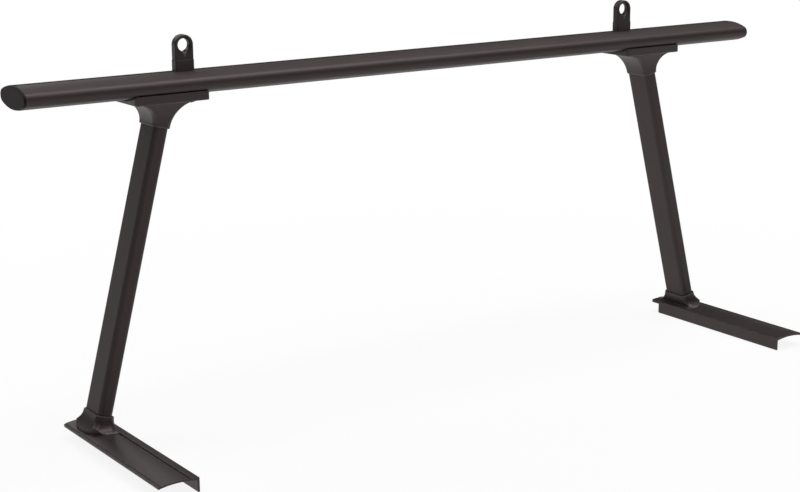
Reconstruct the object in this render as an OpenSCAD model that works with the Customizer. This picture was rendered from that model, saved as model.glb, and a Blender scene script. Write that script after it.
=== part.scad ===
// Ladder rack for a pickup bed: an oval crossbar carried by two leaning
// uprights, each standing on a rail that lies along the side wall of the bed.
// X runs across the truck, -Y faces the tailgate, Z is up from the lowest edge.

/* [Crossbar] */
// Length of the bar extrusion without its end caps
bar_l = 1794; // [1500:1:2000]
// Depth of the oval, front to back
bar_d = 114; // [104:0.5:130]
// Height of the oval
bar_h = 44.9; // [42:0.1:52]
// Radius of the two noses of the oval
bar_nose_r = 14; // [11:0.5:17]
// Wall of the extrusion
bar_wall = 2.6; // [2:0.1:3.4]
// Underside of the bar above the top of the bed rail
bar_lift = 635; // [450:1:800]

/* [Slots] */
// Mouth of every slot in the bar
slot_mouth = 9; // [8.6:0.1:11]
// Width of the slot behind its lips
slot_w = 17.6; // [16:0.1:20]
// Height of the slot behind its lips
slot_h = 7.5; // [6.5:0.1:9]
// Thickness of the lips
slot_lip = 3.2; // [2.5:0.1:4]
// Distance of the two lower slots from the middle of the bar
slot_y = 24; // [21:0.5:28]

/* [Stance] */
// Middle of the bar to the middle of each bed rail
base_reach = 773; // [680:1:820]
// Middle of the bar to the upright's axis where it meets the bar
top_reach = 606.9; // [560:1:640]

/* [Uprights] */
// Depth of an upright, front to back
post_d = 66.3; // [60:0.1:72]
// Width of an upright, seen from the tailgate
post_w = 30.4; // [29:0.1:36]
// Corner radius of an upright
post_r = 9; // [5:0.5:12]
// Wall of an upright
post_wall = 2.5; // [2:0.1:3.5]
// Distance between the two screw ports of an upright
port_pitch = 40; // [34:0.5:44]
// Outer diameter of a screw port
port_d = 13; // [12:0.1:15]

/* [Brackets] */
// Wall of a collar round the upright
collar_wall = 3.2; // [2:0.1:4]
// Depth of the top bracket, front to back
saddle_d = 108; // [100:1:112]
// Length of the top bracket along the bar, towards the middle of the bar
saddle_in = 78; // [74:0.5:95]
// Length of the top bracket along the bar, towards the end of the bar
saddle_out = 77; // [74:0.5:95]
// Thickness of the wings below the bar
wing_t = 7.5; // [7:0.1:12]
// Height of the saddle's flat edge above the bar's underside
saddle_rise = 6.5; // [5:0.1:8]
// Rim of the top collar below the bar's underside, along the upright
top_rim = 57.4; // [52:0.1:75]
// Flare radius on the side of the bar's middle
flare_in_r = 66; // [45:1:68]
// Flare radius on the side of the bar's end
flare_out_r = 35; // [22:1:36]
// Flare radius of the front and back
flare_y_r = 90; // [70:1:120]
// Height of the flare at the front and back
flare_y_h = 38; // [25:1:42]

/* [Feet] */
// Length of a foot bracket along the rail
foot_l = 122; // [118:1:122]
// Rim of the foot collar above the bed rail, along the upright
foot_rim = 37; // [34:0.1:50]
// Thickness of the skirt over the rail's web
skirt_t = 1.8; // [1.5:0.1:4]
// Radius of the skirt's slanted ends, in plan
skirt_r = 52; // [46:1:120]
// Length of the skirt's straight outboard edge
skirt_flat = 30; // [20:1:60]
// Flare radius of the foot, front and back
foot_flare_r = 29; // [24:1:34]
// Radius of the foot's hollow outboard flank
foot_side_r = 58; // [50:1:75]

/* [Base rails] */
// Length of a base rail
rail_l = 409.5; // [330:0.5:500]
// Width of a base rail
rail_w = 81.6; // [81:0.1:90]
// Upright's axis to the far end of the rail
rail_tail = 61; // [61:0.5:120]
// Depth of the flange below the top of the bed rail
flange_drop = 22.5; // [18:0.1:45]
// Thickness of the flange
flange_t = 4; // [3:0.1:6]
// Length that the flange is cut back at the far end
flange_cut = 24; // [5:0.5:60]
// Thickness of the arched web
web_t = 3.5; // [3:0.1:5]
// Rise of the arch under the web
web_rise = 4.1; // [3:0.1:5]
// Height of the ridge over the flange
ridge_h = 7.8; // [7:0.1:10]
// Width of the ridge
ridge_w = 17.8; // [15:0.1:19]
// Tilt of the ridge's top, in degrees, falling towards the flange
ridge_tilt = 6.5; // [2:0.5:8]
// Height of the outboard lip
lip_h = 5; // [4:0.1:6]

/* [Tie-downs] */
// Middle of the bar to the middle of a tie-down
tie_x = 556; // [100:1:800]
// Width of a tie-down
tie_w = 39; // [36:0.5:48]
// Thickness of the eye
tie_t = 18; // [17.5:0.1:24]
// Diameter of the eye
eye_d = 24; // [20:0.1:26]
// Height of the eye above the bar
eye_h = 49; // [44:0.5:70]
// Height of the thicker lower block
tie_block_h = 20; // [12:0.5:26]

/* [Fasteners] */
// Shank of the large screws
screw_d = 8; // [6:0.1:8]
// Head of the large screws
head_d = 13; // [11:0.1:13.5]
// Height of a socket head
head_h = 8; // [6:0.1:8]
// Diameter of a low button head
button_d = 14; // [12:0.1:14.5]
// Height of a low button head
button_h = 4.4; // [3.5:0.1:4.6]
// Shank of the flush screws in the feet
flush_d = 6; // [5:0.1:6.2]
// Head of the flush screws in the feet
flush_head_d = 11; // [9.5:0.1:12]

/* [Fits] */
// Gap between pieces that slide on each other
slide_gap = 0.3; // [0.2:0.05:0.5]
// Gap round pieces that are pushed together
push_gap = 0.1; // [0.05:0.05:0.3]

/* [Hidden] */

$fn = 96;
eps = 0.01;
quarter = 90;
black = [0.16, 0.145, 0.15];
zinc = [0.62, 0.62, 0.6];

// Levels and places in the whole rack
bed_z = flange_drop;
bar_z = bed_z + bar_lift + bar_h / 2;
under_z = bar_z - bar_h / 2;
post_y = rail_l / 2 - rail_tail;
lean = atan((base_reach - top_reach) / bar_lift);
axis_l = bar_lift / cos(lean);

// Oval of the bar: two nose arcs and two broad arcs that are tangent to them
nose_y = bar_d / 2 - bar_nose_r;
broad_r = (nose_y * nose_y + bar_h * bar_h / 4 - bar_nose_r * bar_nose_r)
    / (bar_h - 2 * bar_nose_r);
broad_z = broad_r - bar_h / 2;
tangent_y = nose_y * broad_r / (broad_r - bar_nose_r);
function bar_rise(y) = broad_r - sqrt(broad_r * broad_r - y * y);

// Slots and the chambers between them
housing_w = slot_w + 2 * bar_wall;
web_y = slot_w / 2 + bar_wall / 2;

// End caps
cap_t = 4.5;
cap_inset = 0.6;
cap_edge_r = 2.2;
plug_l = 14;
plug_wall = 2;

// Collars and sockets
collar_w = post_w + 2 * (collar_wall + push_gap);
collar_d = post_d + 2 * (collar_wall + push_gap);
collar_r = post_r + collar_wall + push_gap;
top_floor = head_h + 7.5;
foot_floor = 20;
port_bore = screw_d + 0.1;
port_web = 2.5;

// Screws of the uprights, measured along the upright's axis
top_head = top_floor - 4.5;
foot_head = foot_floor - 5;
end_screw_l = 34;

// Depth that a flare starts inside the faces it joins
flare_sink = 0.06;

// Places along the upright's axis where the top bracket's side flares start
function flare_reach(r, opening) = r / tan(opening / 2);
flare_in_start = wing_t / cos(lean) - collar_w / 2 * tan(lean)
    + flare_reach(flare_in_r, quarter + lean);
flare_out_start = wing_t / cos(lean) + collar_w / 2 * tan(lean)
    + flare_reach(flare_out_r, quarter - lean);

// Tool that rounds a collar's corners
corner_ease = 0.3;
rim_ease = 12;
tool_l = 200;

// Screws of the saddle
saddle_screw_in = saddle_in - 12.5;
saddle_screw_out = saddle_out - 13;
saddle_cbore_h = button_h + 0.5;
nut_l = 20;
nut_h = 6;
nut_w = slot_w - 1;
nut_z = slide_gap;

// Screws of the feet
foot_screw_at = [[-13, 43], [13, 37]];
foot_screw_l = 6.5;

// Rail profile, measured outboard from the flange's inner face
arch_w = rail_w - flange_t;
arch_x = flange_t + arch_w / 2 - 1;
arch_half = arch_w / 2;
arch_r = (arch_half * arch_half + web_rise * web_rise) / (2 * web_rise);
rail_in_x = base_reach - rail_w / 2;
lip_w = 3.2;
edge_r = 1.4;
groove_r = 1.5;

// Foot bracket
foot_in_x = rail_in_x + ridge_w + 1;
foot_out_x = base_reach + rail_w / 2 - lip_w - 7.6;
foot_top_z = web_rise + web_t + skirt_t;
skirt_tip = [foot_in_x + 1, foot_l / 2];
skirt_side = [foot_out_x, skirt_flat / 2];
foot_flare_z = min(foot_rim - 1, foot_top_z + foot_flare_r);
function foot_flare_start(way) = axis_l - foot_flare_z / cos(lean)
    - way * (collar_w / 2 - collar_r) * tan(lean);

// Tie-down
tie_block_w = tie_w + 0.8;
tie_block_t = tie_t + 1.6;
tie_edge_r = 3.2;
eye_round = 6;
tie_head_z = eye_h - eye_d / 2 - 2;
tie_screw_l = tie_head_z - head_h + slot_lip + nut_z + nut_h;

// Mirrors a right-hand piece to the left side of the truck
module side(name) {
    mirror([name == "left" ? 1 : 0, 0, 0])
        children();
}

// Puts children on an upright's axis: origin under the bar, +Z down the post
module on_axis() {
    translate([top_reach, post_y, under_z])
        rotate([0, 180 - lean, 0])
            children();
}

// Rectangle with true round corners
module round_rect(w, h, r) {
    square([w - 2 * r, h], center = true);
    square([w, h - 2 * r], center = true);
    for (sx = [-1, 1], sy = [-1, 1])
        translate([sx * (w / 2 - r), sy * (h / 2 - r)])
            circle(r);
}

// The bar's oval, drawn in (y, z) and grown by a distance
module oval(grow = 0) {
    intersection() {
        translate([0, -broad_z]) circle(broad_r + grow, $fn = 360);
        translate([0, broad_z]) circle(broad_r + grow, $fn = 360);
        square([2 * tangent_y, bar_h + 2 * grow + 2], center = true);
    }
    for (s = [-1, 1])
        translate([s * nose_y, 0])
            circle(bar_nose_r + grow);
}

// Stands a (y, z) drawing up and extrudes it along X from x0 to x1
module along_x(x0, x1) {
    translate([x0, 0, 0])
        rotate([90, 0, 90])
            linear_extrude(x1 - x0)
                children();
}

// Stands an (x, z) drawing up and extrudes it along Y from y0 to y1
module along_y(y0, y1) {
    translate([0, y1, 0])
        rotate([90, 0, 0])
            linear_extrude(y1 - y0)
                children();
}

// Hexagon socket sunk in a screw head
module hex_key(af, depth) {
    cylinder(d = af / cos(30), h = depth, $fn = 6);
}

// Socket-head screw: head above Z = 0, shank below
module socket_screw(l) {
    difference() {
        union() {
            cylinder(d = head_d, h = head_h);
            translate([0, 0, -l]) cylinder(d = screw_d, h = l + eps);
        }
        translate([0, 0, head_h / 2]) hex_key(6, head_h);
    }
}

// Button-head screw: domed head above Z = 0, shank below
module button_screw(l) {
    dome_r = (button_d * button_d / 4 + button_h * button_h) / (2 * button_h);
    difference() {
        union() {
            intersection() {
                translate([0, 0, button_h - dome_r]) sphere(dome_r);
                cylinder(d = button_d, h = button_h);
            }
            translate([0, 0, -l]) cylinder(d = screw_d, h = l + eps);
        }
        translate([0, 0, button_h / 2]) hex_key(5, button_h);
    }
}

// One slot cut through the bar's wall; Z = 0 is the outside of the lips
module slot_cut() {
    translate([-slot_mouth / 2, -slot_lip - 1]) square([slot_mouth, slot_lip + 6]);
    translate([-slot_w / 2, -slot_lip - slot_h]) square([slot_w, slot_h]);
}

module slot_housing() {
    translate([-housing_w / 2, -slot_lip - slot_h - bar_wall])
        square([housing_w, slot_lip + slot_h + bar_wall]);
}

// Places a slot drawing at the top and at the two lower slots
module at_slots() {
    translate([0, bar_h / 2]) children();
    for (s = [-1, 1])
        translate([s * slot_y, -bar_h / 2 + bar_rise(slot_y)])
            mirror([0, 1]) children();
}

module bar_profile() {
    difference() {
        union() {
            difference() {
                oval();
                oval(-bar_wall);
            }
            intersection() {
                oval();
                union() {
                    at_slots() slot_housing();
                    for (s = [-1, 1])
                        translate([s * web_y - bar_wall / 2, -bar_h / 2])
                            square([bar_wall, bar_h]);
                }
            }
        }
        at_slots() slot_cut();
    }
}

module crossbar() {
    color(black)
        translate([0, post_y, bar_z])
            along_x(-bar_l / 2, bar_l / 2)
                bar_profile();
}

// Solid sector of a disc that is rounded at its upper rim
module rim_sector(r, from, to) {
    span = to - from;
    intersection() {
        rotate_extrude($fn = 360) {
            square([r - cap_edge_r, cap_t]);
            square([r, cap_t - cap_edge_r]);
            translate([r - cap_edge_r, cap_t - cap_edge_r])
                intersection() {
                    circle(cap_edge_r);
                    square(cap_edge_r);
                }
        }
        linear_extrude(cap_t)
            polygon([[0, 0],
                2 * r * [cos(from), sin(from)],
                2 * r * [cos(from + span / 2), sin(from + span / 2)],
                2 * r * [cos(to), sin(to)]]);
    }
}

// Cap plate: the bar's oval with a rounded outer edge, lying on Z = 0
module cap_plate() {
    broad_half = atan(nose_y / broad_z);
    for (s = [-1, 1]) {
        translate([s * nose_y, 0, 0])
            rotate([0, 0, s > 0 ? 0 : 180])
                rim_sector(bar_nose_r - cap_inset, broad_half - quarter, quarter - broad_half);
        intersection() {
            translate([0, -s * broad_z, 0])
                rotate([0, 0, s * quarter])
                    rim_sector(broad_r - cap_inset, -broad_half, broad_half);
            translate([-bar_d, s > 0 ? -eps : -bar_h, 0])
                cube([2 * bar_d, bar_h + eps, cap_t]);
        }
    }
}

// Lugs that plug into the chambers beside the slots
module cap_lugs() {
    lug_y = web_y + bar_wall / 2 + push_gap;
    lug_z = -bar_h / 2 + bar_rise(slot_y) + slot_lip + slot_h + bar_wall + push_gap;
    for (s = [-1, 1])
        difference() {
            intersection() {
                oval(-bar_wall - push_gap);
                translate([s > 0 ? lug_y : -bar_d, lug_z]) square([bar_d - lug_y, bar_h]);
            }
            intersection() {
                oval(-bar_wall - push_gap - plug_wall);
                translate([s > 0 ? lug_y + plug_wall : -bar_d, lug_z + plug_wall])
                    square([bar_d - lug_y - plug_wall, bar_h]);
            }
        }
}

module end_cap(name) {
    color(black)
        side(name)
            translate([bar_l / 2, post_y, bar_z])
                rotate([90, 0, 90]) {
                    cap_plate();
                    translate([0, 0, -plug_l]) linear_extrude(plug_l + eps) cap_lugs();
                }
}

// Section of an upright with its two screw ports
module post_profile() {
    difference() {
        union() {
            difference() {
                round_rect(post_w, post_d, post_r);
                round_rect(post_w - 2 * post_wall, post_d - 2 * post_wall,
                    post_r - post_wall);
            }
            for (s = [-1, 1])
                translate([0, s * port_pitch / 2]) {
                    circle(d = port_d);
                    square([post_w - post_wall, port_web], center = true);
                }
        }
        for (s = [-1, 1])
            translate([0, s * port_pitch / 2])
                circle(d = port_bore);
    }
}

module upright(name) {
    color(black)
        side(name)
            on_axis()
                translate([0, 0, top_floor])
                    linear_extrude(axis_l - top_floor - foot_floor)
                        post_profile();
}

// A flare that rounds the corner between a wing's underside and the collar.
// The corner is at the origin; the flare starts a little inside both faces.
module flare(r, opening) {
    mid = [flare_reach(r, opening) - flare_sink, flare_sink - r];
    difference() {
        polygon([mid, mid + [0, r + 2], [-3 * cos(opening / 2), 3 * sin(opening / 2)],
            mid - (r + 2) * [sin(opening), cos(opening)]]);
        translate(mid) circle(r, $fn = 180);
    }
}

// Outline of the top bracket, seen from the tailgate: x outboard, z up
module saddle_outline() {
    half = collar_w / 2 / cos(lean);
    slope = tan(lean);
    rim = top_rim + saddle_rise / cos(lean);
    in_x = top_reach + wing_t * slope - half;
    out_x = top_reach + wing_t * slope + half;
    translate([top_reach - saddle_in, -wing_t])
        square([saddle_in + saddle_out, wing_t + saddle_rise]);
    translate([top_reach, 0])
        rotate([0, 0, lean])
            translate([-collar_w / 2, -top_rim])
                square([collar_w, rim]);
    translate([in_x, -wing_t]) mirror([1, 0]) flare(flare_in_r, quarter + lean);
    translate([out_x, -wing_t]) flare(flare_out_r, quarter - lean);
}

// Outline of the top bracket, seen from the side: y and z
module saddle_side() {
    flare_w = flare_y_r - sqrt(flare_y_r * flare_y_r - flare_y_h * flare_y_h);
    translate([-saddle_d / 2, -wing_t]) square([saddle_d, wing_t + saddle_rise]);
    translate([-collar_d / 2, -2 * top_rim]) square([collar_d, 2 * top_rim]);
    for (s = [-1, 1])
        difference() {
            translate([s > 0 ? 0 : -collar_d / 2 - flare_w, -wing_t - flare_y_h])
                square([collar_d / 2 + flare_w, flare_y_h + 1]);
            translate([s * (collar_d / 2 + flare_y_r - flare_sink), -wing_t - flare_y_h])
                circle(flare_y_r, $fn = 180);
        }
}

// What is cut off a collar's square corners, so that they are round and flare as
// its sides do. Each flare is [radius, place along the axis]; it opens towards
// the origin, or away from it if away is true. way is 1 inboard, -1 outboard.
module off_corners(way, flares, away) {
    r = collar_r + corner_ease;
    for (s = [-1, 1])
        translate([way * (collar_w / 2 - collar_r), s * (collar_d / 2 - collar_r), 0])
            intersection() {
                translate([way > 0 ? 0 : -tool_l, s > 0 ? 0 : -tool_l, 0])
                    cube([tool_l, tool_l, 2 * axis_l]);
                rotate_extrude($fn = 180)
                    difference() {
                        translate([0, flares[0][1] - tool_l]) square([tool_l, 2 * tool_l]);
                        for (flare = flares)
                            difference() {
                                translate([0, flare[1] - (away ? rim_ease : tool_l)])
                                    square([r + (away ? 1 : 2) * flare[0], tool_l + rim_ease]);
                                translate([r + flare[0], flare[1]])
                                    circle(flare[0], $fn = 180);
                            }
                    }
            }
}

module top_bracket(name) {
    color(black)
        side(name)
            difference() {
                intersection() {
                    translate([0, post_y, under_z])
                        along_y(-saddle_d, saddle_d) saddle_outline();
                    translate([0, post_y, under_z])
                        along_x(0, bar_l) saddle_side();
                    translate([top_reach + (saddle_out - saddle_in) / 2, post_y, 0])
                        linear_extrude(2 * bar_z)
                            round_rect(saddle_in + saddle_out, saddle_d, 5);
                }
                translate([0, post_y, bar_z])
                    along_x(0, bar_l) oval(slide_gap);
                intersection() {
                    translate([0, 0, under_z - wing_t - tool_l]) cube([bar_l, rail_l, tool_l]);
                    on_axis() {
                        off_corners(1, [[flare_in_r, flare_in_start]], false);
                        off_corners(-1, [[flare_out_r, flare_out_start]], false);
                    }
                }
                on_axis() {
                    translate([0, 0, top_floor])
                        linear_extrude(2 * top_rim)
                            round_rect(post_w + 2 * push_gap, post_d + 2 * push_gap,
                                post_r + push_gap);
                    for (s = [-1, 1])
                        translate([0, s * port_pitch / 2, 0]) {
                            translate([0, 0, -head_h])
                                cylinder(d = screw_d + 1, h = 2 * top_rim);
                            translate([0, 0, -2 * head_h])
                                cylinder(d = head_d + 0.6, h = 2 * head_h + top_head);
                        }
                }
                at_saddle_screws() {
                    translate([0, 0, -2 * wing_t])
                        cylinder(d = screw_d + 1, h = 4 * wing_t);
                    translate([0, 0, -2 * wing_t])
                        cylinder(d = button_d + 1, h = wing_t + saddle_cbore_h);
                }
            }
}

// The four screws that hold the top bracket to the lower slots
module at_saddle_screws() {
    for (dx = [-saddle_screw_in, saddle_screw_out], s = [-1, 1])
        translate([top_reach + dx, post_y + s * slot_y, under_z])
            children();
}

module saddle_screws(name) {
    grip = wing_t - saddle_cbore_h + bar_rise(slot_y) + slot_lip + nut_z + nut_h;
    color(zinc)
        side(name)
            at_saddle_screws()
                translate([0, 0, -wing_t + saddle_cbore_h])
                    mirror([0, 0, 1])
                        button_screw(grip);
}

// Nut that slides in a slot; Z = 0 is the face against the lips
module slot_nut() {
    difference() {
        linear_extrude(nut_h)
            round_rect(nut_l, nut_w, 2);
        translate([0, 0, -1]) cylinder(d = screw_d + 2 * push_gap, h = nut_h + 2);
    }
}

module saddle_nuts(name) {
    color(zinc)
        side(name)
            at_saddle_screws()
                translate([0, 0, bar_rise(slot_y) + slot_lip + nut_z])
                    slot_nut();
}

// Screws through the top bracket into the upright's ports
module upright_top_screws(name) {
    color(zinc)
        side(name)
            on_axis()
                for (s = [-1, 1])
                    translate([0, s * port_pitch / 2, top_head])
                        mirror([0, 0, 1])
                            socket_screw(end_screw_l);
}

// Screws through the foot bracket into the upright's ports
module upright_foot_screws(name) {
    color(zinc)
        side(name)
            on_axis()
                for (s = [-1, 1])
                    translate([0, s * port_pitch / 2, axis_l - foot_head])
                        button_screw(end_screw_l);
}

// Arch of the rail's web; rise is added to its radius
module arch(rise) {
    translate([arch_x, web_rise - arch_r]) circle(arch_r + rise, $fn = 720);
}

// Section of a base rail: x outboard of the flange's inner face, z over the bed
module rail_profile() {
    crest_z = ridge_h - edge_r;
    top_l = (ridge_w - 2 * edge_r - 0.15) / cos(ridge_tilt);
    inner_z = crest_z - top_l * sin(ridge_tilt);
    difference() {
        union() {
            // flange with a rounded lower edge
            translate([flange_t / 2, flange_t / 2 - flange_drop]) circle(d = flange_t);
            translate([0, flange_t / 2 - flange_drop])
                square([flange_t, flange_drop + inner_z - flange_t / 2]);
            // ridge: its rounded top falls a little towards the flange
            translate([ridge_w - edge_r, crest_z])
                rotate([0, 0, ridge_tilt]) {
                    circle(edge_r);
                    translate([-top_l, 0]) circle(edge_r);
                    translate([-top_l, -edge_r]) square([top_l, 2 * edge_r]);
                }
            translate([0, 0]) square([ridge_w - 0.2, inner_z]);
            translate([ridge_w / 2, 0]) square([ridge_w / 2 - 0.2, crest_z - 0.5]);
            // web
            intersection() {
                arch(web_t);
                translate([edge_r, 0]) square([rail_w - lip_w, 3 * web_rise]);
            }
            // outboard lip
            translate([rail_w - lip_w, 0]) square([lip_w, lip_h - lip_w / 2]);
            translate([rail_w - lip_w / 2, lip_h - lip_w / 2]) circle(d = lip_w);
        }
        intersection() {
            arch(0);
            translate([flange_t, -1]) square([rail_w - flange_t - lip_w, 3 * web_rise]);
        }
        translate([ridge_w + groove_r - 0.4, ridge_h - 1.6]) circle(groove_r);
        translate([rail_w - lip_w - groove_r + 0.2, lip_h - 0.4]) circle(groove_r);
    }
}

module at_foot_screws() {
    for (at = foot_screw_at, s = [-1, 1])
        translate([base_reach + at[0], post_y + s * at[1], bed_z])
            children();
}

// Height of the web's lower face at a distance outboard of the flange
function web_under(x) = web_rise - arch_r + sqrt(arch_r * arch_r - (x - arch_x) * (x - arch_x));
flush_z = web_under(rail_w / 2 + foot_screw_at[1][0]) - 0.2;
flush_cone_h = (flush_head_d - flush_d) / 2;

module base_rail(name) {
    far_y = post_y + rail_tail;
    color(black)
        side(name)
            difference() {
                translate([rail_in_x, 0, bed_z])
                    along_y(far_y - rail_l, far_y) rail_profile();
                // flange cut back at the far end, and the plate's rounded corners
                translate([rail_in_x - 1, far_y - flange_cut, -1])
                    cube([flange_t + 1, flange_cut + 1, flange_drop + 1]);
                far_corner(rail_in_x, far_y, 3);
                far_corner(rail_in_x + rail_w, far_y, 9);
                at_foot_screws() {
                    cylinder(d = flush_d + 0.4, h = 5 * web_t);
                    translate([0, 0, flush_z - 3])
                        cylinder(d = flush_head_d + 0.4, h = 3);
                    translate([0, 0, flush_z])
                        cylinder(d1 = flush_head_d + 0.4, d2 = flush_d + 0.4,
                            h = flush_cone_h);
                }
            }
}

// Rounds a corner of the plate at the far end
module far_corner(x, y, r) {
    s = x > base_reach ? 1 : -1;
    mid = r - 0.15;
    translate([x - s * mid, y - mid, 0])
        difference() {
            translate([s > 0 ? 0 : -r - 1, 0, -1]) cube([r + 1, r + 1, 2 * bed_z]);
            translate([0, 0, -2]) cylinder(r = r, h = 3 * bed_z);
        }
}

// Outline of the foot bracket, seen from the tailgate: x outboard, z over the bed
module foot_outline() {
    intersection() {
        translate([foot_in_x, 0]) square([foot_out_x - foot_in_x, foot_top_z]);
        translate([rail_in_x, 0]) arch(web_t + skirt_t);
    }
    intersection() {
        translate([base_reach, 0])
            rotate([0, 0, lean])
                difference() {
                    translate([-collar_w / 2, -foot_top_z])
                        square([collar_w + foot_side_r / 2, foot_rim + foot_top_z]);
                    translate([collar_w / 2 + foot_side_r, foot_rim + 2])
                        circle(foot_side_r, $fn = 180);
                }
        translate([foot_in_x - foot_rim, 0])
            square([foot_out_x - foot_in_x + foot_rim, 2 * foot_rim]);
    }
}

// Outline of the foot bracket, seen from the side: y and z over the bed
module foot_side() {
    translate([-foot_l / 2, 0]) square([foot_l, foot_top_z]);
    translate([-collar_d / 2, 0]) square([collar_d, 2 * foot_rim]);
    for (s = [-1, 1])
        difference() {
            translate([s > 0 ? 0 : -collar_d / 2 - foot_flare_r, 0])
                square([collar_d / 2 + foot_flare_r, foot_flare_z]);
            translate([s * (collar_d / 2 + foot_flare_r), foot_flare_z])
                circle(foot_flare_r, $fn = 180);
        }
}

// Centre of the arc of radius r that runs clockwise from p to q
function arc_centre(p, q, r) = let (d = q - p, h = norm(d) / 2)
    (p + q) / 2 + sqrt(r * r - h * h) / norm(d) * [d[1], -d[0]];

// Plan of the skirt: straight along the ridge, round towards the outboard edge
module skirt_plan() {
    mid = arc_centre(skirt_tip, skirt_side, skirt_r);
    width = foot_out_x - foot_in_x + foot_rim;
    translate([foot_out_x - width, -skirt_flat / 2]) square([width, skirt_flat]);
    for (s = [-1, 1])
        intersection() {
            translate([foot_out_x - width, s > 0 ? 0 : -foot_l / 2]) square([width, foot_l / 2]);
            translate([mid[0], s * mid[1]]) circle(skirt_r, $fn = 360);
        }
}

module foot_bracket(name) {
    color(black)
        side(name)
            difference() {
                intersection() {
                    translate([0, post_y, bed_z])
                        along_y(-foot_l, foot_l) foot_outline();
                    translate([0, post_y, bed_z])
                        along_x(0, 2 * base_reach) foot_side();
                    translate([0, post_y, 0]) linear_extrude(2 * bar_lift) skirt_plan();
                }
                translate([rail_in_x, post_y, bed_z])
                    along_y(-foot_l, foot_l) arch(web_t);
                intersection() {
                    translate([0, 0, bed_z + foot_top_z]) cube([bar_l, rail_l, tool_l]);
                    on_axis() {
                        off_corners(1, [[foot_flare_r, foot_flare_start(1)]], true);
                        off_corners(-1, [[foot_side_r, axis_l - foot_rim - 2],
                            [foot_flare_r, foot_flare_start(-1)]], true);
                    }
                }
                on_axis() {
                    translate([0, 0, axis_l - 2 * foot_rim])
                        linear_extrude(2 * foot_rim - foot_floor)
                            round_rect(post_w + 2 * push_gap, post_d + 2 * push_gap,
                                post_r + push_gap);
                    for (s = [-1, 1])
                        translate([0, s * port_pitch / 2, axis_l - foot_head]) {
                            translate([0, 0, -foot_rim])
                                cylinder(d = screw_d + 1, h = 2 * foot_rim);
                            cylinder(d = button_d + 1, h = foot_rim);
                        }
                }
                at_foot_screws()
                    cylinder(d = flush_d + 2 * push_gap, h = flush_z + foot_screw_l + 0.6);
            }
}

// Flush screws from under the web into the foot bracket
module foot_screws(name) {
    color(zinc)
        side(name)
            at_foot_screws()
                translate([0, 0, flush_z]) {
                    cylinder(d = flush_d, h = foot_screw_l);
                    difference() {
                        cylinder(d1 = flush_head_d, d2 = flush_d, h = flush_cone_h);
                        translate([0, 0, -1]) hex_key(4, 2);
                    }
                }
}

// Puts children on the bar's crown under a tie-down
module at_tie(name) {
    side(name)
        translate([tie_x, post_y, bar_z + bar_h / 2])
            children();
}

// Body of the eye: a post with rounded edges, turned over at the top
module eye_body() {
    linear_extrude(eye_h)
        round_rect(tie_w, tie_t, tie_edge_r);
    translate([0, 0, eye_h])
        rotate([90, 0, 0])
            rotate_extrude($fn = 180)
                intersection() {
                    round_rect(tie_w, tie_t, tie_edge_r);
                    translate([0, -tie_t]) square([tie_w, 2 * tie_t]);
                }
}

// The eye's hole: a short land with broad round edges on both faces
module eye_hole() {
    land = tie_t / 2 - eye_round;
    translate([0, 0, eye_h])
        rotate([90, 0, 0])
            rotate_extrude($fn = 180)
                difference() {
                    translate([0, -tie_t / 2 - 1])
                        square([eye_d / 2 + eye_round, tie_t + 2]);
                    translate([eye_d / 2, -land]) square([2 * eye_round, 2 * land]);
                    for (s = [-1, 1])
                        translate([eye_d / 2 + eye_round, s * land])
                            circle(eye_round);
                }
}

module tie_down(name) {
    color(black)
        at_tie(name)
            difference() {
                union() {
                    eye_body();
                    translate([0, 0, -bar_h / 2])
                        linear_extrude(tie_block_h + bar_h / 2)
                            round_rect(tie_block_w, tie_block_t, tie_edge_r);
                }
                eye_hole();
                difference() {
                    translate([0, 0, -bar_h / 2])
                        along_x(-tie_w, tie_w) oval(slide_gap);
                    // key that runs in the slot's mouth
                    translate([0, 0, -slot_lip])
                        linear_extrude(slot_lip + 2)
                            translate([-tie_w / 2, -slot_mouth / 2 + slide_gap])
                                square([tie_w, slot_mouth - 2 * slide_gap]);
                }
                translate([0, 0, -bar_h])
                    cylinder(d = 4 * tie_w, h = bar_h - slot_lip / 2);
                translate([0, 0, -bar_h]) cylinder(d = screw_d + 0.6, h = 2 * bar_h);
                translate([0, 0, tie_head_z - head_h])
                    cylinder(d = head_d + 0.6, h = eye_d / 2 + head_h);
            }
}

module tie_down_nut(name) {
    color(zinc)
        at_tie(name)
            translate([0, 0, -slot_lip - nut_z])
                mirror([0, 0, 1])
                    slot_nut();
}

module tie_down_screw(name) {
    color(zinc)
        at_tie(name)
            translate([0, 0, tie_head_z - head_h])
                socket_screw(tie_screw_l);
}

crossbar();
end_cap("left");  // end_cap_left
end_cap("right");  // end_cap_right
top_bracket("left");  // top_bracket_left
top_bracket("right");  // top_bracket_right
upright("left");  // upright_left
upright("right");  // upright_right
foot_bracket("left");  // foot_bracket_left
foot_bracket("right");  // foot_bracket_right
base_rail("left");  // base_rail_left
base_rail("right");  // base_rail_right
tie_down("left");  // tie_down_left
tie_down("right");  // tie_down_right
tie_down_nut("left");  // tie_down_nut_left
tie_down_nut("right");  // tie_down_nut_right
tie_down_screw("left");  // tie_down_screw_left
tie_down_screw("right");  // tie_down_screw_right
saddle_screws("left");  // saddle_screws_left
saddle_screws("right");  // saddle_screws_right
saddle_nuts("left");  // saddle_nuts_left
saddle_nuts("right");  // saddle_nuts_right
upright_top_screws("left");  // upright_top_screws_left
upright_top_screws("right");  // upright_top_screws_right
upright_foot_screws("left");  // upright_foot_screws_left
upright_foot_screws("right");  // upright_foot_screws_right
foot_screws("left");  // foot_screws_left
foot_screws("right");  // foot_screws_right
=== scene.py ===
import math

import bpy
from mathutils import Matrix, Vector


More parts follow.
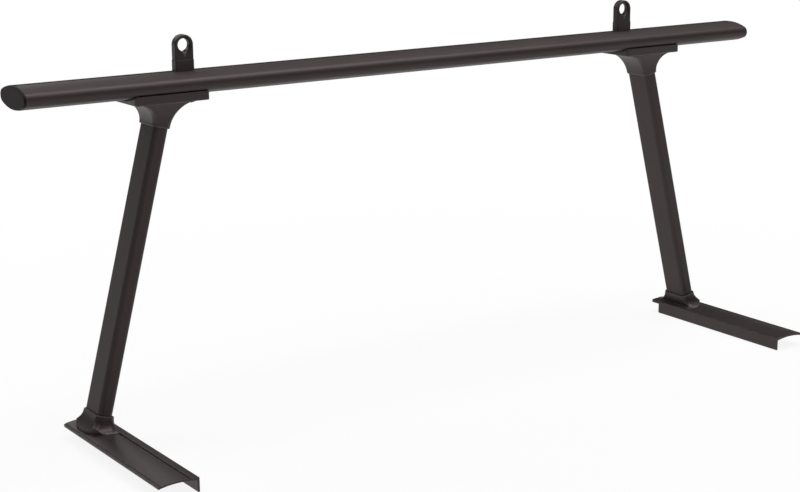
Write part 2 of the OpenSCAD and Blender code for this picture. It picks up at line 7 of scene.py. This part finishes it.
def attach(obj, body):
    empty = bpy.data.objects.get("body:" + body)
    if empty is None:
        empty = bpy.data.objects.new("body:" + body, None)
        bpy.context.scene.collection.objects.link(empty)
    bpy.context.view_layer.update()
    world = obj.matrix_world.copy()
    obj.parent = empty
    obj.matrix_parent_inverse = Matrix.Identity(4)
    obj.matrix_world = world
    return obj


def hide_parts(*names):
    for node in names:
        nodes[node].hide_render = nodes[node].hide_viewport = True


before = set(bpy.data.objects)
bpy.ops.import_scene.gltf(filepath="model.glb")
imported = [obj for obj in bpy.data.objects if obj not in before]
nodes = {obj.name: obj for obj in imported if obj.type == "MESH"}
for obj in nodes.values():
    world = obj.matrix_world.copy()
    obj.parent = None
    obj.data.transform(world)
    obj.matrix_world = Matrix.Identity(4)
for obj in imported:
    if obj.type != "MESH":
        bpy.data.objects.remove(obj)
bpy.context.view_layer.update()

# ---------------------------------------------------------------- base rails
# Two aluminium extrusions that lie along the bed: an arched web with a ridge,
# a lip outboard and a flange that hangs inside the bed. Sawn to length, the
# cuts deburred, then powder coated black in a fine satin texture.


class Term:
    """A shader socket that can be used in a sum: each operator adds a Math node."""

    def __init__(self, finish, socket):
        self.finish = finish
        self.socket = socket

    def math(self, operation, *values):
        return self.finish.add(
            "ShaderNodeMath", {"operation": operation}, dict(enumerate(values))
        )

    def __add__(self, other):
        return self.math("ADD", self, other)

    def __sub__(self, other):
        return self.math("SUBTRACT", self, other)

    def __rsub__(self, other):
        return self.math("SUBTRACT", other, self)

    def __mul__(self, other):
        return self.math("MULTIPLY", self, other)

    __radd__ = __add__
    __rmul__ = __mul__

    def within(self, low, high):
        """0 at low, 1 at high, and straight between them."""
        return self.finish.add(
            "ShaderNodeMapRange", {}, {"Value": self, "From Min": low, "From Max": high}
        )


class Finish:
    """A surface finish: one material, whose nodes all come from add()."""

    def __init__(self, name):
        self.material = bpy.data.materials.new(name)
        self.material.use_nodes = True
        self.tree = self.material.node_tree
        self.tree.nodes.clear()
        self.place = self.add("ShaderNodeTexCoord", {}, {}, "Object")

    def add(self, kind, settings, inputs, output=0):
        """Adds a node: its settings first, then the value or link of each socket."""
        node = self.tree.nodes.new(kind)
        for name, value in settings.items():
            setattr(node, name, value)
        for name, value in inputs.items():
            if isinstance(value, Term):
                self.tree.links.new(value.socket, node.inputs[name])
            else:
                node.inputs[name].default_value = value
        return Term(self, node.outputs[output])

    def noise(self, size, detail=2.0, stretch=None):
        """Noise from 0 to 1 whose lumps are about size metres across."""
        place = self.place
        if stretch:
            place = self.add(
                "ShaderNodeVectorMath", {"operation": "MULTIPLY"}, {0: place, 1: stretch}
            )
        return self.add(
            "ShaderNodeTexNoise", {}, {"Vector": place, "Scale": 1 / size, "Detail": detail}
        )

    def blend(self, share, first, second):
        """From the first colour to the second, by share."""
        return self.add(
            "ShaderNodeMix", {"data_type": "RGBA"}, {0: share, 6: first, 7: second}, 2
        )

    def edges(self, radius):
        """1 along the outer edges, 0 on the open faces, measured within radius inside."""
        open_inside = self.add(
            "ShaderNodeAmbientOcclusion",
            {"inside": True, "samples": 6},
            {"Distance": radius},
            "AO",
        )
        return 1 - open_inside.within(0.45, 0.9)

    def bump(self, height, depth, soften=None):
        """A normal for a height from 0 to 1 that stands depth metres proud."""
        inputs = {"Height": height, "Distance": depth, "Strength": 1.0}
        if soften:
            inputs["Normal"] = self.add(
                "ShaderNodeBevel", {"samples": 6}, {"Radius": soften}, "Normal"
            )
        return self.add("ShaderNodeBump", {}, inputs)

    def surface(self, **inputs):
        """Ends the finish in a Principled shader."""
        named = {name.replace("_", " "): value for name, value in inputs.items()}
        shader = self.add("ShaderNodeBsdfPrincipled", {}, named)
        return self.show(shader)

    def show(self, shader):
        """Takes a shader as the whole look."""
        output = self.tree.nodes.new("ShaderNodeOutputMaterial")
        self.tree.links.new(shader.socket, output.inputs["Surface"])
        return self.material


def coat(piece, material):
    """Gives the whole of a piece one finish."""
    piece.data.materials.clear()
    piece.data.materials.append(material)


sides = ("left", "right")
black = (0.0225, 0.0175, 0.0177, 1)
black_faded = (0.0285, 0.0225, 0.0228, 1)
# Painted highlight: a lighter colour laid along the extrusions' outer edges.
painted_edge_highlight = (0.075, 0.062, 0.062, 1)
warm_sheen = (1.0, 0.77, 0.78, 1)
sheen_level = 0.5
satin = 0.54
burnished = 0.42
uneven = 0.04
powder_grain = 0.0006
die_line = 0.0015
# Painted highlight: how far in from an edge the lighter colour reaches.
highlight_width = 0.0016
arris = 0.0009


def powder(name, along, gloss):
    """Black powder on an extrusion: fine grain, faint die lines along it, and a painted
    highlight along its outer edges.
    """
    finish = Finish(name)
    fine = finish.noise(powder_grain)
    lines = finish.noise(die_line, 1, along)
    cloud = finish.noise(0.12)
    # Painted highlight: the outer edges are painted lighter, broken up by noise, as if
    # rounded arrises caught the light.
    painted_highlight_mask = finish.edges(highlight_width) * finish.noise(0.009, 3).within(0.2, 0.6)
    tone = finish.blend(cloud.within(0.3, 0.75), black, black_faded)
    return finish.surface(
        Base_Color=finish.blend(painted_highlight_mask, tone, painted_edge_highlight),
        Roughness=(cloud + fine - 1) * uneven + gloss,
        Specular_IOR_Level=sheen_level,
        Specular_Tint=warm_sheen,
        Normal=finish.bump(fine * 0.8 + lines * 0.2, 0.000007, arris),
    )


rail_coat = powder("powder_coat_along_rail", (1, 0.02, 1), burnished)
for side in sides:
    coat(nodes["base_rail_" + side], rail_coat)

# ------------------------------------------------------------- foot brackets
# Die-cast aluminium: a socket for the upright that flares out to a skirt on the
# base rail, screwed on from below. The same black powder, with a coarser, softer
# grain from the casting's skin, and a highlight painted lighter along its arrises.

# Painted highlight: a lighter colour laid along the castings' arrises, and how far in it
# reaches.
painted_cast_highlight = (0.150, 0.124, 0.124, 1)
cast_highlight_width = 0.003


def casting(name, low, high, sheen):
    """Black powder on a casting, between a low and a high tone, with a painted highlight
    along its arrises.
    """
    finish = Finish(name)
    fine = finish.noise(0.0009, 3)
    skin = finish.noise(0.004, 3)
    cloud = finish.noise(0.05)
    # Painted highlight: the arrises are painted lighter, broken up by noise.
    painted_highlight_mask = finish.edges(cast_highlight_width) * finish.noise(0.006, 3).within(0.1, 0.5)
    tone = finish.blend(cloud.within(0.3, 0.75), low, high)
    return finish.surface(
        Base_Color=finish.blend(painted_highlight_mask, tone, painted_cast_highlight),
        Roughness=(cloud + fine - 1) * 0.05 + burnished,
        Specular_IOR_Level=sheen,
        Specular_Tint=warm_sheen,
        Normal=finish.bump(fine * 0.4 + skin * 0.6, 0.00003),
    )


def recast(name, body, finish, grid, relaxing, swelling, bedding=0):
    """A casting's arrises, as round as the mould leaves them: its mesh, remade and
    relaxed, swollen by what the relaxing took, and bedded that much deeper."""
    piece = bpy.data.objects.new(name + "_cast", nodes[name].data.copy())
    bpy.context.scene.collection.objects.link(piece)
    piece.location.z = -bedding
    remake = piece.modifiers.new("remake", "REMESH")
    remake.mode = "VOXEL"
    remake.voxel_size = grid
    remake.use_smooth_shade = True
    relax = piece.modifiers.new("relax", "SMOOTH")
    relax.factor = 0.5
    relax.iterations = relaxing
    swell = piece.modifiers.new("swell", "DISPLACE")
    swell.mid_level = 0
    swell.strength = swelling
    coat(piece, finish)
    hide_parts(name)
    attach(piece, body)
    return piece


cast_coat = casting("powder_coat_on_casting", black, black_faded, sheen_level)
for side in sides:
    recast(
        "foot_bracket_" + side, side + "_side", cast_coat,
        grid=0.0008, relaxing=12, swelling=0.0005, bedding=0.0008,
    )

# ------------------------------------------------------------------ uprights
# Leaning aluminium extrusions with rounded corners, cut square and screwed to
# the castings at both ends through ports inside. Powder coated like the rails.

upright_coat = powder("powder_coat_along_upright", (1, 1, 0.03), satin)
for side in sides:
    coat(nodes["upright_" + side], upright_coat)

# -------------------------------------------------------------- top brackets
# Die-cast saddles under the crossbar that flare down to a collar round the
# upright's top. The saddle's upper face rises a little with the bar's curve.

lip_from = 0.0411
lip_slope = 0.28
same_height = 0.0001
for side in sides:
    saddle = recast(
        "top_bracket_" + side, side + "_side", cast_coat,
        grid=0.0009, relaxing=10, swelling=0.0002,
    )
    corners = [corner.co for corner in saddle.data.vertices]
    middle = (min(at.y for at in corners) + max(at.y for at in corners)) / 2
    top = max(at.z for at in corners) - same_height
    for at in corners:
        if at.z > top:
            at.z += lip_slope * max(0, abs(at.y - middle) - lip_from)

# ------------------------------------------------------------------ crossbar
# One long oval aluminium extrusion with a T-slot in its crown and two in its
# underside, powder coated. Everything above the bed is clamped to its slots.

bar_coat = powder("powder_coat_along_bar", (0.02, 1, 1), satin)
coat(nodes["crossbar"], bar_coat)

# ------------------------------------------------------------------ end caps
# Moulded black plastic plates with a dull pebbled face, whose lugs push into
# the bar's chambers.

plastic = (0.0090, 0.0062, 0.0065, 1)
plastic_rubbed = (0.0130, 0.0095, 0.0098, 1)
cap_finish = Finish("moulded_plastic")
pebble = cap_finish.noise(0.0012, 3)
handling = cap_finish.noise(0.02, 3)
cap_plastic = cap_finish.surface(
    Base_Color=cap_finish.blend(handling.within(0.35, 0.7), plastic, plastic_rubbed),
    Roughness=pebble * 0.08 + 0.56,
    Specular_IOR_Level=0.16,
    Specular_Tint=warm_sheen,
    Normal=cap_finish.bump(pebble, 0.00002, 0.0006),
)
for side in sides:
    coat(nodes["end_cap_" + side], cap_plastic)

# ----------------------------------------------------------------- tie-downs
# Small cast eyes whose key stands in the bar's top slot, each held by a screw
# and a T-nut. Their powder is a shade deeper than the large castings'.

deep_black = (0.0160, 0.0130, 0.0130, 1)
deep_faded = (0.0205, 0.0170, 0.0170, 1)
eye_coat = casting("powder_coat_on_eye", deep_black, deep_faded, 0.4)
for side in sides:
    recast(
        "tie_down_" + side, side + "_tie_down", eye_coat,
        grid=0.0005, relaxing=4, swelling=0,
    )

# ----------------------------------------------------------------- fasteners
# Steel screws and T-nuts, zinc plated and passivated black, so that they keep
# a clouded metal look beside the powder coat.

zinc_dark = (0.10, 0.10, 0.105, 1)
zinc_bright = (0.24, 0.24, 0.25, 1)
plate_finish = Finish("black_zinc")
plate_cloud = plate_finish.noise(0.004, 3)
plating = plate_finish.surface(
    Base_Color=plate_finish.blend(plate_cloud.within(0.35, 0.7), zinc_dark, zinc_bright),
    Metallic=1.0,
    Roughness=plate_cloud * 0.2 + 0.28,
    Normal=plate_finish.bump(plate_finish.noise(0.0004), 0.00002, 0.0003),
)
for name in nodes:
    if "screw" in name or "nut" in name:
        coat(nodes[name], plating)

# --------------------------------------------------------------- the studio
# A pale floor that turns to white backdrop away from the rack, soft lamps of
# which the strongest are high, and a faint even room light.

floor_half = 60.0
floor_drop = 0.0004
near_white, near, far = 0.86, 0.5, 2.0
floor_mesh = bpy.data.meshes.new("studio_floor")
floor_mesh.from_pydata(
    [
        (x * floor_half, y * floor_half, -floor_drop)
        for x, y in ((-1, -1), (1, -1), (1, 1), (-1, 1))
    ],
    [],
    [(0, 1, 2, 3)],
)
floor = bpy.data.objects.new("studio_floor", floor_mesh)
bpy.context.scene.collection.objects.link(floor)
floor_finish = Finish("pale_floor")
pale = floor_finish.add("ShaderNodeBsdfDiffuse", {}, {"Color": (0.9, 0.9, 0.9, 1)})
white = floor_finish.add(
    "ShaderNodeEmission", {}, {"Color": (1, 1, 1, 1), "Strength": 1.0}
)
seen = [
    floor_finish.add("ShaderNodeLightPath", {}, {}, ray)
    for ray in ("Is Camera Ray", "Is Glossy Ray", "Is Transmission Ray")
]
away = floor_finish.add(
    "ShaderNodeVectorMath", {"operation": "LENGTH"}, {0: floor_finish.place}, "Value"
)
whiter = away.within(near, far) * (1 - near_white) + near_white
shown = (seen[0] + seen[1] + seen[2]) * whiter
mixed = floor_finish.add("ShaderNodeMixShader", {}, {0: shown, 1: pale, 2: white})
coat(floor, floor_finish.show(mixed))

world = bpy.data.worlds.new("studio_room")
bpy.context.scene.world = world
world.use_nodes = True
room = world.node_tree.nodes["Background"]
room.inputs["Color"].default_value = (1, 1, 1, 1)
room.inputs["Strength"].default_value = 0.09


rack_middle = Vector((0, 0, 0.4))
lamp_reach = 4.5
lamp_side = 2.5


def direction(turn, rise):
    """Away from the rack: turned from the tailgate towards the right, and up."""
    return Vector((
        math.sin(turn) * math.cos(rise), -math.cos(turn) * math.cos(rise), math.sin(rise)
    ))


def lamp(name, power, turn, rise):
    """A soft square lamp that shines at the rack: its power in watts, and in
    degrees how far round it stands and how high."""
    light = bpy.data.lights.new(name, "AREA")
    light.shape = "SQUARE"
    light.size = lamp_side
    light.energy = power
    lit = bpy.data.objects.new(name, light)
    bpy.context.scene.collection.objects.link(lit)
    out = direction(math.radians(turn), math.radians(rise))
    lit.matrix_world = (
        Matrix.Translation(rack_middle + lamp_reach * out)
        @ out.to_track_quat("Z", "Y").to_matrix().to_4x4()
    )


lamp("overhead", 53, 0, 89)
lamp("high_front", 40, 0, 70)
lamp("high_right", 78, 90, 70)
lamp("right", 17, 90, 45)
lamp("behind_left", 56, -135, 45)
lamp("behind", 21, 180, 25)
lamp("front", 4, 0, 45)

# --------------------------------------------------------------- the camera
# Stands off the left end of the tailgate side, a little above the crossbar.

eye_at = Vector((-2.0413779, -2.7411627, 1.1317746))
turned, raised, tipped = (math.radians(a) for a in (-34.5224, 13.5680, -0.3551))
back = direction(turned, raised)
right = Vector((0, 0, 1)).cross(back).normalized()
level = Matrix((right, back.cross(right), back)).transposed()
view = bpy.data.cameras.new("camera")
view.lens = 76.2477
view.sensor_fit = "HORIZONTAL"
view.sensor_width = 36
view.clip_end = 200
camera = bpy.data.objects.new("camera", view)
bpy.context.scene.collection.objects.link(camera)
camera.matrix_world = Matrix.Translation(eye_at) @ (
    Matrix.Rotation(tipped, 3, back) @ level
).to_4x4()
bpy.context.scene.camera = camera

bpy.context.scene.view_settings.view_transform = "Standard"
